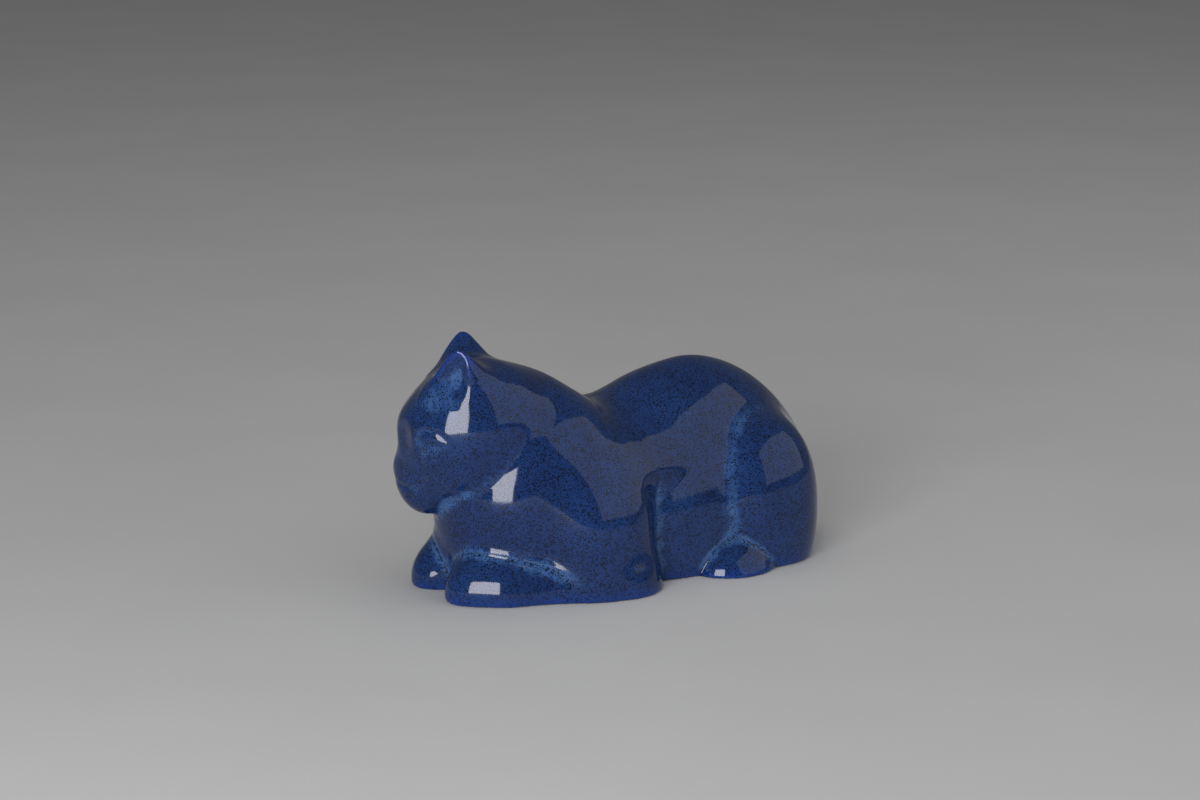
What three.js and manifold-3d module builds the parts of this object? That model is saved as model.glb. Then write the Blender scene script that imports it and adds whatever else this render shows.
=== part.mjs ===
// A cat lying with its head turned aside, slip cast in one piece as a hollow ceramic urn,
// with a filling hole in its base that a recessed bung closes.
// Millimetres, +Z up. The cat's nose points to -X, its left side faces -Y. The origin is midway
// along and across the underside, on the surface that the urn stands on.

import * as THREE from 'three';
import { mergeVertices } from 'three/addons/utils/BufferGeometryUtils.js';
import Module from 'manifold-3d';

const wasm = await Module();
wasm.setup();

// Where the cat's own frame lies from the origin, so that the urn's box is centred on it
const ORIGIN = { x: 4.6, y: 0 };

// Body: the hindquarters, the belly, the neck down to the withers and the breast
const RUMP = { centre: [47.1, 0, 22], radii: [81.8, 46.5, 84.6], fullness: 1.81 };
const BELLY = { centre: [18.1, 0, 22.1], radii: [49, 44, 71.2] };
const NECK = { from: [-86.8, -2, 77.5], to: [-21.2, 0, 43.2], radii: [7.6, 40.9] };
const BREAST = { centre: [-59.3, 0, 41.5], radii: [40.1, 41.9, 72.1] };

// Limbs on the left side; the right side mirrors them, but for the hind foot
const UPPER_ARM = { from: [-37.1, -11.4, 66.5], to: [-29.9, -29.8, 8.9], radii: [27.5, 29.2] };
const FOREARM = { from: [-20.1, -42.1, 4], to: [-75.4, -21.9, 4], radii: [21.4, 22.2] };
const PAW = { centre: [-88.3, -16.9, 4], radii: [21, 14.5, 20.6] };
const THIGH = { centre: [72.1, -30, 26.7], radii: [33, 28.5, 50.9], fullness: 2.3 };
const HIND_FOOT = { centre: [48.5, -43, -4.6], radii: [24.1, 20, 23.7] };

// Tail, laid along the foot of the right haunch: an arc about the rump, thinning to its tip
const TAIL = { centre: [60, 8], reach: [57, 46], start: 5, end: 128, steps: 8, height: 7, radii: [11, 7.5] };

// Head, in a frame of its own that is turned to the cat's right
const HEAD = { centre: [-90.4, 3.1, 84.3], turn: THREE.MathUtils.degToRad(-32.9) };
const SKULL = { centre: [10.5, 0, 3.8], radii: [33, 27.9, 33] };
const BROW = { centre: [-9.6, 0.1, 2.6], radii: [20.4, 20, 15.1] };
const MUZZLE = { centre: [-14.8, 0, -21.9], radii: [17.2, 15.5, 22.2] };
const CHEEK = { centre: [-4, -11, -12.3], radii: [17.6, 18.2, 17.2] };
const EYE_HOLLOW = { centre: [-34, -19, -1], radii: [12, 11, 12] };
const EAR = {
  from: [4.3, -17.6, 21.9], to: [1.2, -25.2, 43.3], radii: [19.7, 4.1], flatness: 0.6, slope: 0.72,
};
const EAR_HOLLOW = { tip: [6, -25.5, 46], rear: [-0.8, -0.6, -0.136], side: [-0.22, -0.95, -0.215] };

// How far each form melts into the next
const MELT = {
  head: 10, skull: 10, cheek: 12, ear: 5, eye: 5, earHollow: 2.5, earFold: 2, neck: 20, arm: 22,
  belly: 18, waistLow: 5, waistHigh: 18, waistHeight: 80, paw: 6, leg: 6, haunch: 5, foot: 4, tail: 4,
};

// The form runs on below the ground, where the level cut of the underside ends it
const BELOW = { depth: 8, melt: 2 };

// Casting: the shell's wall, the thicker floor, and the filling hole with its counterbore
const WALL = 5.5;
const FLOOR = 7;
const INNER_MELT = 8;
const HOLE = { x: 10, radius: 19, ledgeRadius: 23, ledgeDepth: 3.4, sides: 36 };

// Bung: a flange that lies in the counterbore, clear of the ground, and a tapered plug
const GAP = 0.3;
const BUNG = { lift: 0.8, plugTop: 13, taper: 0.8, round: 1.2, sides: 36 };

// Lattices that the surfaces are drawn on: fine about the head, coarser elsewhere
const OUTER_CELL = { ear: 3, fine: 4.1, coarse: 7.4 };
const INNER_CELL = 11;
const EXTENT = { x: [-133, 134], y: [-70, 70], z: [-19, 142] };
const FINE_WHERE = { xBelow: -66, yWithin: 33, zAbove: 104 };

// How a drawn surface is settled: Newton's steps, the step of its slopes and their least square, how
// far a vertex may move for the size of its cell, and the rounds and stiffness of the evening out
const SETTLE = { steps: 5, slopeStep: 0.2, leastSquare: 0.05, firstReach: 0.6, reach: 0.5 };
const RELAX_ROUNDS = 3;
const SHARPEN = { rounds: 1, stiffness: 0.08 };

const GLAZE = new THREE.MeshStandardMaterial({ color: 0x1d3f8c, roughness: 0.12, metalness: 0 });
const RUBBER = new THREE.MeshStandardMaterial({ color: 0x2a2927, roughness: 0.75, metalness: 0 });

// Distances to simple forms. Each takes a point and answers in millimetres, negative inside.

function ellipsoid(p, { centre, radii }) {
  const q = p.map((value, i) => (value - centre[i]) / radii[i]);
  const k0 = Math.hypot(...q);
  const k1 = Math.hypot(...q.map((value, i) => value / radii[i]));
  return k0 * (k0 - 1) / Math.max(k1, 1e-6);
}

function superellipsoid(p, { centre, radii, fullness }) {
  const q = p.map((value, i) => Math.abs(value - centre[i]) / radii[i] + 1e-6);
  const sum = q.reduce((total, value) => total + value ** fullness, 0) ** (1 / fullness);
  const slope = q.map((value, i) => (value / sum) ** (fullness - 1) / radii[i]);
  return (sum - 1) / Math.max(Math.hypot(...slope), 1e-6);
}

function roundCone(p, { from, to, radii }) {
  const axis = to.map((value, i) => value - from[i]);
  const arm = p.map((value, i) => value - from[i]);
  const along = axis.reduce((total, value, i) => total + value * arm[i], 0);
  const square = axis.reduce((total, value) => total + value * value, 0);
  const t = THREE.MathUtils.clamp(along / square, 0, 1);
  return Math.hypot(...arm.map((value, i) => value - t * axis[i])) - THREE.MathUtils.lerp(...radii, t);
}

function halfSpace(p, point, normal) {
  const length = Math.hypot(...normal);
  return normal.reduce((total, value, i) => total + value * (p[i] - point[i]), 0) / length;
}

// Joins of two distances that melt into each other over a reach, and the cut of one by another

function melt(a, b, reach) {
  const h = Math.max(reach - Math.abs(a - b), 0) / reach;
  return Math.min(a, b) - h * h * reach / 4;
}

function carve(a, cutter, reach) {
  return -melt(-a, cutter, reach);
}

function mirrored(p) {
  return [p[0], -Math.abs(p[1]), p[2]];
}

function headDistance(p) {
  const dx = p[0] - HEAD.centre[0];
  const dy = p[1] - HEAD.centre[1];
  const c = Math.cos(HEAD.turn);
  const s = Math.sin(HEAD.turn);
  const q = mirrored([c * dx + s * dy, c * dy - s * dx, p[2] - HEAD.centre[2]]);
  let d = melt(ellipsoid(q, SKULL), ellipsoid(q, BROW), MELT.skull);
  d = melt(d, ellipsoid(q, MUZZLE), MELT.skull);
  d = melt(d, ellipsoid(q, CHEEK), MELT.cheek);
  d = carve(d, ellipsoid(q, EYE_HOLLOW), MELT.eye);
  return melt(d, earDistance(q), MELT.ear);
}

// An ear is a flattened cone, hollowed on its front and outer side by a fold that starts at its tip
function earDistance(q) {
  const flat = ([x, y, z]) => [x, y / EAR.flatness, z];
  const cone = roundCone(flat(q), { from: flat(EAR.from), to: flat(EAR.to), radii: EAR.radii });
  const rear = -halfSpace(q, EAR_HOLLOW.tip, EAR_HOLLOW.rear);
  const side = -halfSpace(q, EAR_HOLLOW.tip, EAR_HOLLOW.side);
  return carve(cone * EAR.slope, -melt(-rear, -side, MELT.earFold), MELT.earHollow);
}

function tailDistance(p) {
  const point = (i) => {
    const angle = THREE.MathUtils.degToRad(THREE.MathUtils.lerp(TAIL.start, TAIL.end, i / TAIL.steps));
    const x = TAIL.centre[0] + TAIL.reach[0] * Math.cos(angle);
    return [x, TAIL.centre[1] + TAIL.reach[1] * Math.sin(angle), TAIL.height];
  };
  const radius = (i) => THREE.MathUtils.lerp(...TAIL.radii, i / TAIL.steps);
  let d = Infinity;
  for (let i = 0; i < TAIL.steps; i += 1) {
    d = Math.min(d, roundCone(p, { from: point(i), to: point(i + 1), radii: [radius(i), radius(i + 1)] }));
  }
  return d;
}

function catDistance([x, y, z]) {
  const p = [x + ORIGIN.x, y + ORIGIN.y, z];
  const m = mirrored(p);
  const rear = melt(superellipsoid(p, RUMP), ellipsoid(p, BELLY), MELT.belly);
  let front = melt(roundCone(p, NECK), ellipsoid(p, BREAST), MELT.neck);
  front = melt(front, roundCone(m, UPPER_ARM), MELT.arm);
  const height = THREE.MathUtils.clamp(z / MELT.waistHeight, 0, 1);
  let d = melt(rear, front, THREE.MathUtils.lerp(MELT.waistLow, MELT.waistHigh, height));
  d = melt(d, headDistance(p), MELT.head);
  d = melt(d, melt(roundCone(m, FOREARM), ellipsoid(m, PAW), MELT.paw), MELT.leg);
  d = melt(d, superellipsoid(m, THIGH), MELT.haunch);
  d = melt(d, ellipsoid(p, HIND_FOOT), MELT.foot);
  d = melt(d, tailDistance(p), MELT.tail);
  return carve(d, z + BELOW.depth, BELOW.melt);
}

// The hollow follows the outside at the wall's thickness, over a level floor
function hollowDistance(p) {
  return carve(catDistance(p) + WALL, p[2] - FLOOR, INNER_MELT);
}

function gradient(form, p) {
  const step = SETTLE.slopeStep;
  return p.map((_, i) => {
    const ahead = p.map((value, j) => (i === j ? value + step : value));
    const behind = p.map((value, j) => (i === j ? value - step : value));
    return (form(ahead) - form(behind)) / (2 * step);
  });
}

// Moves a point onto the surface of a form, by no more than a limit
function settle(form, start, limit) {
  let p = start;
  for (let i = 0; i < SETTLE.steps; i += 1) {
    const slope = gradient(form, p);
    const square = Math.max(slope.reduce((total, value) => total + value * value, 0), SETTLE.leastSquare);
    const distance = form(p);
    p = p.map((value, j) => value - distance * slope[j] / square);
  }
  return towards(start, p, limit);
}

// The point that lies from a start towards an end, no farther on than a limit
function towards(start, end, limit) {
  const far = Math.hypot(...end.map((value, i) => value - start[i]));
  const share = Math.min(1, limit / Math.max(far, 1e-9));
  return start.map((value, i) => THREE.MathUtils.lerp(value, end[i], share));
}

function meanOf(points) {
  return [0, 1, 2].map((a) => points.reduce((total, point) => total + point[a], 0) / points.length);
}

// Lattice lines from low to high, each cell as large as the size function says at its start
function lines([low, high], size) {
  const found = [low];
  while (found.at(-1) < high) found.push(found.at(-1) + size(found.at(-1)));
  return found;
}

// Draws a form as a closed mesh: a vertex for each stretch of its surface in each lattice cell, settled
// on that surface, and a four-sided face around each lattice edge that the surface crosses
function drawSurface(form, xs, ys, zs) {
  const [nx, ny, nz] = [xs.length, ys.length, zs.length];
  const at = (i, j, k) => (i * ny + j) * nz + k;
  const place = ([i, j, k]) => [xs[i], ys[j], zs[k]];
  const values = new Float64Array(nx * ny * nz);
  for (let n = 0; n < values.length; n += 1) {
    values[n] = form(place([Math.floor(n / (ny * nz)), Math.floor(n / nz) % ny, n % nz]));
  }
  const value = (corner) => values[at(...corner)];
  const vertices = [];
  const limits = [];
  const vertexOf = new Map();
  for (let i = 0; i < nx - 1; i += 1) {
    for (let j = 0; j < ny - 1; j += 1) {
      for (let k = 0; k < nz - 1; k += 1) {
        const size = Math.min(xs[i + 1] - xs[i], ys[j + 1] - ys[j], zs[k + 1] - zs[k]);
        for (const edges of stretches([i, j, k], value)) {
          const crossings = edges.map(({ start, end }) => {
            const t = value(start) / (value(start) - value(end));
            return place(start).map((v, a) => THREE.MathUtils.lerp(v, place(end)[a], t));
          });
          edges.forEach(({ start, axis }) => {
            vertexOf.set(`${at(i, j, k)}:${at(...start)}:${axis}`, vertices.length);
          });
          vertices.push(settle(form, meanOf(crossings), size * SETTLE.firstReach));
          limits.push(size * SETTLE.reach);
        }
      }
    }
  }
  const quads = [];
  for (let n = 0; n < values.length; n += 1) {
    const start = [Math.floor(n / (ny * nz)), Math.floor(n / nz) % ny, n % nz];
    for (let axis = 0; axis < 3; axis += 1) {
      const end = stepped(start, axis, 1);
      if (end[axis] === [nx, ny, nz][axis] || (value(start) < 0) === (value(end) < 0)) continue;
      const [b, c] = [(axis + 1) % 3, (axis + 2) % 3];
      const cell = (u, v) => {
        const corner = stepped(stepped(start, b, -u), c, -v);
        return vertexOf.get(`${at(...corner)}:${n}:${axis}`);
      };
      const quad = [cell(1, 1), cell(0, 1), cell(0, 0), cell(1, 0)];
      quads.push(value(start) < 0 ? quad : quad.reverse());
    }
  }
  relax(form, vertices, quads, limits);
  sharpen(form, vertices, quads, limits);
  return solidFrom(vertices, quads.flatMap((quad) => split(form, vertices, quad)));
}

function stepped(corner, axis, by) {
  return corner.map((v, a) => (a === axis ? v + by : v));
}

// The edges of a lattice cell that the surface crosses, one list for each stretch of surface in the
// cell. The stretches run from edge to edge over the cell's faces, and where all four edges of a face
// are crossed, they pass around the corners that lie inside the form.
function stretches(cell, value) {
  const corners = Array.from({ length: 8 }, (_, n) => cell.map((v, a) => v + ((n >> a) & 1)));
  const inside = corners.map((corner) => value(corner) < 0);
  const listOf = new Map();
  corners.forEach((start, n) => [0, 1, 2].forEach((axis) => {
    const m = n | (1 << axis);
    if (m !== n && inside[n] !== inside[m]) listOf.set(n * 8 + m, [{ start, end: corners[m], axis }]);
  }));
  const keyOf = (n, m) => Math.min(n, m) * 8 + Math.max(n, m);
  const link = (one, other) => {
    const joined = [...new Set([...listOf.get(one), ...listOf.get(other)])];
    const members = [...listOf.keys()].filter((k) => joined.includes(listOf.get(k)[0]));
    members.forEach((k) => listOf.set(k, joined));
  };
  for (let face = 0; face < 6 && listOf.size > 0; face += 1) {
    const [axis, side] = [face >> 1, face & 1];
    const [b, c] = [1 << ((axis + 1) % 3), 1 << ((axis + 2) % 3)];
    const ring = [0, b, b | c, c].map((n) => n | (side << axis));
    const keys = ring.map((n, i) => keyOf(n, ring[(i + 1) % 4]));
    const crossed = keys.filter((key) => listOf.has(key));
    if (crossed.length === 2) link(...crossed);
    if (crossed.length === 4) ring.forEach((n, i) => inside[n] && link(keys[(i + 3) % 4], keys[i]));
  }
  return [...new Set(listOf.values())];
}

// Evens the mesh out: each vertex moves half way to the middle of its neighbours, then settles again
function relax(form, vertices, quads, limits) {
  const neighbours = vertices.map(() => new Set());
  for (const quad of quads) {
    quad.forEach((vertex, i) => {
      neighbours[vertex].add(quad[(i + 1) % 4]);
      neighbours[vertex].add(quad[(i + 3) % 4]);
    });
  }
  for (let round = 0; round < RELAX_ROUNDS; round += 1) {
    const moved = vertices.map((p, v) => meanOf([p, meanOf([...neighbours[v]].map((n) => vertices[n]))]));
    moved.forEach((p, v) => { vertices[v] = settle(form, p, limits[v]); });
  }
}

// Draws ridges and creases sharp: each vertex moves to where the surface's tangent planes meet, those
// at the middles of the faces around it
function sharpen(form, vertices, quads, limits) {
  for (let round = 0; round < SHARPEN.rounds; round += 1) {
    const planes = vertices.map(() => []);
    for (const quad of quads) {
      const limit = Math.min(...quad.map((vertex) => limits[vertex]));
      const point = settle(form, meanOf(quad.map((vertex) => vertices[vertex])), limit);
      const slope = gradient(form, point);
      const normal = slope.map((value) => value / Math.hypot(...slope));
      quad.forEach((vertex) => planes[vertex].push({ point, normal }));
    }
    planes.forEach((list, v) => {
      const start = vertices[v];
      const sum = (term) => list.reduce((total, plane) => total + term(plane), 0);
      const product = (a, b) => sum(({ normal }) => normal[a] * normal[b]) + (a === b ? SHARPEN.stiffness : 0);
      const away = ({ point, normal }) => normal.reduce((t, n, a) => t + n * (point[a] - start[a]), 0);
      const system = new THREE.Matrix3(
        product(0, 0), product(0, 1), product(0, 2),
        product(1, 0), product(1, 1), product(1, 2),
        product(2, 0), product(2, 1), product(2, 2),
      );
      const pull = [0, 1, 2].map((a) => sum((plane) => plane.normal[a] * away(plane)));
      const shift = new THREE.Vector3(...pull).applyMatrix3(system.invert()).toArray();
      vertices[v] = towards(start, start.map((value, a) => value + shift[a]), limits[v]);
    });
  }
}

// Splits a four-sided face along the diagonal whose middle lies nearer to the surface
function split(form, vertices, [a, b, c, d]) {
  const middle = (u, v) => vertices[u].map((value, i) => (value + vertices[v][i]) / 2);
  const first = Math.abs(form(middle(a, c)));
  const second = Math.abs(form(middle(b, d)));
  return first < second ? [a, b, c, a, c, d] : [a, b, d, b, c, d];
}

function solidFrom(vertices, triangles) {
  const vertProperties = new Float32Array(vertices.flat());
  const triVerts = new Uint32Array(triangles);
  return new wasm.Manifold(new wasm.Mesh({ numProp: 3, vertProperties, triVerts }));
}

function solidOf(source) {
  const bare = source.clone();
  bare.deleteAttribute('normal');
  bare.deleteAttribute('uv');
  const merged = mergeVertices(bare, 1e-4);
  const vertProperties = new Float32Array(merged.attributes.position.array);
  const triVerts = new Uint32Array(merged.index.array);
  return new wasm.Manifold(new wasm.Mesh({ numProp: 3, vertProperties, triVerts }));
}

function geometryOf(solid) {
  const { vertProperties, triVerts, numProp } = solid.getMesh();
  const geometry = new THREE.BufferGeometry();
  const positions = new Float32Array(vertProperties.length / numProp * 3);
  for (let i = 0; i < positions.length / 3; i += 1) {
    for (let a = 0; a < 3; a += 1) positions[3 * i + a] = vertProperties[numProp * i + a];
  }
  geometry.setAttribute('position', new THREE.BufferAttribute(positions, 3));
  geometry.setIndex(new THREE.BufferAttribute(new Uint32Array(triVerts), 1));
  geometry.computeVertexNormals();
  return geometry;
}

// A turned piece from its radius and height along the profile, which starts and ends on the axis
function turned(profile, sides) {
  const lathe = new THREE.LatheGeometry(profile.map(([r, z]) => new THREE.Vector2(r, z)), sides);
  lathe.rotateX(Math.PI / 2);
  return lathe;
}

function urnBody() {
  const { ear, fine, coarse } = OUTER_CELL;
  const xs = lines(EXTENT.x, (x) => (x < FINE_WHERE.xBelow ? fine : coarse));
  const ys = lines(EXTENT.y, (y) => (Math.abs(y) < FINE_WHERE.yWithin ? fine : coarse));
  const zs = lines(EXTENT.z, (z) => (z > FINE_WHERE.zAbove ? ear : coarse));
  const outside = drawSurface(catDistance, xs, ys, zs);
  const even = (range) => lines(range, () => INNER_CELL);
  const hollow = drawSurface(hollowDistance, even(EXTENT.x), even(EXTENT.y), even(EXTENT.z));
  const length = EXTENT.x[1] - EXTENT.x[0];
  const width = EXTENT.y[1] - EXTENT.y[0];
  const below = new THREE.BoxGeometry(2 * length, 2 * width, 60).translate(0, 0, -30);
  const hole = turned([
    [0, -1], [HOLE.ledgeRadius, -1], [HOLE.ledgeRadius, HOLE.ledgeDepth],
    [HOLE.radius, HOLE.ledgeDepth], [HOLE.radius, FLOOR + 5], [0, FLOOR + 5],
  ], HOLE.sides).translate(HOLE.x, 0, 0);
  return outside.subtract(solidOf(below)).subtract(hollow).subtract(solidOf(hole));
}

function bung() {
  const flange = HOLE.ledgeRadius - GAP;
  const plug = HOLE.radius - GAP;
  const flangeTop = HOLE.ledgeDepth - GAP;
  return turned([
    [0, BUNG.lift], [flange - BUNG.round, BUNG.lift], [flange, BUNG.lift + BUNG.round],
    [flange, flangeTop], [plug, flangeTop], [plug - BUNG.taper, BUNG.plugTop - BUNG.round],
    [plug - BUNG.taper - BUNG.round, BUNG.plugTop], [0, BUNG.plugTop],
  ], BUNG.sides);
}

function piece(name, geometry, material) {
  const mesh = new THREE.Mesh(geometry, material);
  mesh.name = name;
  return mesh;
}

const urn = new THREE.Group();
urn.name = 'cat_urn';
urn.add(piece('urn_body', geometryOf(urnBody()), GLAZE));
const stopper = piece('base_stopper', bung(), RUBBER);
stopper.position.x = HOLE.x;
urn.add(stopper);

export default urn;
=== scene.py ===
"""A lying cat cast as a hollow urn in glossy cobalt glaze, on a plain pale floor.

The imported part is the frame. The cast shell is drawn again here as a finer mesh, on the packed
form with its shoulder, chest, cheek, paws and folds refined. The mesh also carries where the glaze
pooled and where it ran thin. The bung is a moulded rubber piece. Forms are in millimetres, as the
part's own sizes are, and meshes in metres.
"""

import logging
import math
from abc import ABC, abstractmethod
from collections.abc import Sequence
from dataclasses import dataclass, field, replace
from enum import Enum

import bpy
import numpy as np
from mathutils import Matrix, Vector

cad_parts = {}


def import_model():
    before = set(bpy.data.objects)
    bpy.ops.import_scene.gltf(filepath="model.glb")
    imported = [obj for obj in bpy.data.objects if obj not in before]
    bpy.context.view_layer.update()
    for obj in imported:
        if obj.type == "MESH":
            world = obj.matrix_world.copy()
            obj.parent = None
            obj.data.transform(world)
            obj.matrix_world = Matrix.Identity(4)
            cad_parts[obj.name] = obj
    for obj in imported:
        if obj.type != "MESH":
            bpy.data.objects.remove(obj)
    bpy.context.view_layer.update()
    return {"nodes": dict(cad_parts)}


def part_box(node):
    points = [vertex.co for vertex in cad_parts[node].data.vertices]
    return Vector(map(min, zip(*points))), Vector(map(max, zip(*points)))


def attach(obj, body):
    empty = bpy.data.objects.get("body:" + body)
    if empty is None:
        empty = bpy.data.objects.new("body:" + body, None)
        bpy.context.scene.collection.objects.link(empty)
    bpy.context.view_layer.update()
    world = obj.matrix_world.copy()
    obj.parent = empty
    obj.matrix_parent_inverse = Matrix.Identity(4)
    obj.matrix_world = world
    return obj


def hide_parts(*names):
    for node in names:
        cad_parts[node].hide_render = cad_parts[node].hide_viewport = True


LOG = logging.getLogger("cat_urn")
MM = 0.001
TINY = 1e-6
MERGE_REACH = 1e-6
FACING = 0.9
Point = tuple[float, float, float]
Socket = bpy.types.NodeSocket


class GlazeMask(Enum):
    """What the shell's mesh stores for its glaze, by the name of the attribute."""

    THIN = "glaze_thin"
    POOLED = "glaze_pooled"
    CREASE = "glaze_crease"


# Forms


def melt(a: np.ndarray, b: np.ndarray, reach: float | np.ndarray) -> np.ndarray:
    """Joins two distances so that their forms melt into each other.

    Args:
        a: Distances to one form.
        b: Distances to the other form.
        reach: How far apart the distances may be and still melt.

    Returns:
        The distances to both forms as one.
    """
    h = np.maximum(reach - np.abs(a - b), 0.0) / reach
    return np.minimum(a, b) - h * h * reach / 4.0


def carve(a: np.ndarray, cutter: np.ndarray, reach: float) -> np.ndarray:
    """Takes a cutter out of a form, with a rounded edge.

    Args:
        a: Distances to the form.
        cutter: Distances to the cutter.
        reach: How far apart the distances may be and still round the edge.

    Returns:
        The distances to what is left.
    """
    return -melt(-a, cutter, reach)


def smooth_step(low: float, high: float, value: np.ndarray) -> np.ndarray:
    """Rises smoothly from 0 at low to 1 at high.

    Args:
        low: Where the rise starts.
        high: Where the rise ends.
        value: The values to place on it.

    Returns:
        Numbers from 0 to 1.
    """
    t = np.clip((value - low) / (high - low), 0.0, 1.0)
    return t * t * (3.0 - 2.0 * t)


def between(one: float | np.ndarray, other: float, share: np.ndarray) -> np.ndarray:
    """Goes from one value to another by a share from 0 to 1."""
    return one + (other - one) * share


def near(gap: np.ndarray, reach: float) -> np.ndarray:
    """Falls softly from 1, where a gap is 0, within about a reach."""
    return np.exp(-((gap / reach) ** 2))


def mirrored(points: np.ndarray) -> np.ndarray:
    """Moves points of the right side to their twins on the left side.

    Args:
        points: Points, one a row.

    Returns:
        The points with none on the right side.
    """
    left = points.copy()
    left[:, 1] = -np.abs(left[:, 1])
    return left


@dataclass(frozen=True)
class Ellipsoid:
    """An ellipsoid, made leaner or fuller by its exponent."""

    centre: Point
    radii: Point
    fullness: float = 2.0

    def distance(self, points: np.ndarray) -> np.ndarray:
        """Gives how far points are outside it.

        Args:
            points: Points, one a row.

        Returns:
            Distances, negative inside.
        """
        radii = np.array(self.radii)
        q = np.abs(points - np.array(self.centre)) / radii + TINY
        total = (q**self.fullness).sum(axis=1) ** (1.0 / self.fullness)
        slope = (q / total[:, None]) ** (self.fullness - 1.0) / radii
        return (total - 1.0) / np.maximum(np.linalg.norm(slope, axis=1), TINY)


@dataclass(frozen=True)
class RoundCone:
    """A rod with round ends whose radius changes from one end to the other."""

    start: Point
    end: Point
    radii: tuple[float, float]

    def distance(self, points: np.ndarray) -> np.ndarray:
        """Gives how far points are outside it.

        Args:
            points: Points, one a row.

        Returns:
            Distances, negative inside.
        """
        axis = np.array(self.end) - np.array(self.start)
        arm = points - np.array(self.start)
        t = np.clip(arm @ axis / (axis @ axis), 0.0, 1.0)
        radius = self.radii[0] + (self.radii[1] - self.radii[0]) * t
        off = arm - t[:, None] * axis
        return np.linalg.norm(off, axis=1) - radius


@dataclass(frozen=True)
class Crease:
    """A fine crease along a line on one part of the form."""

    path: tuple[Point, ...]
    depth: float
    width: float

    def share(self, points: np.ndarray) -> np.ndarray:
        """Gives how near points are to the crease.

        Args:
            points: Points, one a row.

        Returns:
            Numbers from 0 to 1, 1 on the line.
        """
        ends = zip(self.path, self.path[1:])
        rods = [RoundCone(start, end, (0.0, 0.0)) for start, end in ends]
        return near(np.min([rod.distance(points) for rod in rods], axis=0), self.width)


@dataclass(frozen=True)
class Swell:
    """A soft local swelling, or a dent where its rise is negative."""

    centre: Point
    reach: Point
    rise: float

    def relief(self, points: np.ndarray) -> np.ndarray:
        """Gives how far it raises the surface.

        Args:
            points: Points, one a row.

        Returns:
            Heights, to take from the distances.
        """
        q = (points - np.array(self.centre)) / np.array(self.reach)
        return self.rise * np.exp(-(q * q).sum(axis=1))


@dataclass(frozen=True)
class Ear:
    """A flattened cone, hollowed on its front and outer side by a fold that starts at its tip."""

    start: Point = (4.3, -15.8, 21.9)
    end: Point = (1.2, -25.2, 43.3)
    radii: tuple[float, float] = (19.7, 4.1)
    flatness: float = 0.6
    slope: float = 0.72
    fold_tip: Point = (6.0, -25.5, 46.0)
    fold_rear: Point = (-0.8, -0.6, 0.0)
    fold_side: Point = (-0.22, -0.95, -0.215)
    fold_melt: float = 2.0
    rim_melt: float = 2.5

    def distance(self, points: np.ndarray) -> np.ndarray:
        """Gives how far points are outside it.

        Args:
            points: Points in the head's frame, on its left side.

        Returns:
            Distances, negative inside.
        """
        flat = np.array([1.0, 1.0 / self.flatness, 1.0])
        start, end = tuple(np.array(self.start) * flat), tuple(np.array(self.end) * flat)
        cone = RoundCone(start, end, self.radii).distance(points * flat)
        rear, side = (
            -(points - np.array(self.fold_tip)) @ (np.array(normal) / np.linalg.norm(normal))
            for normal in (self.fold_rear, self.fold_side)
        )
        return carve(cone * self.slope, -melt(-rear, -side, self.fold_melt), self.rim_melt)


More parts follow.
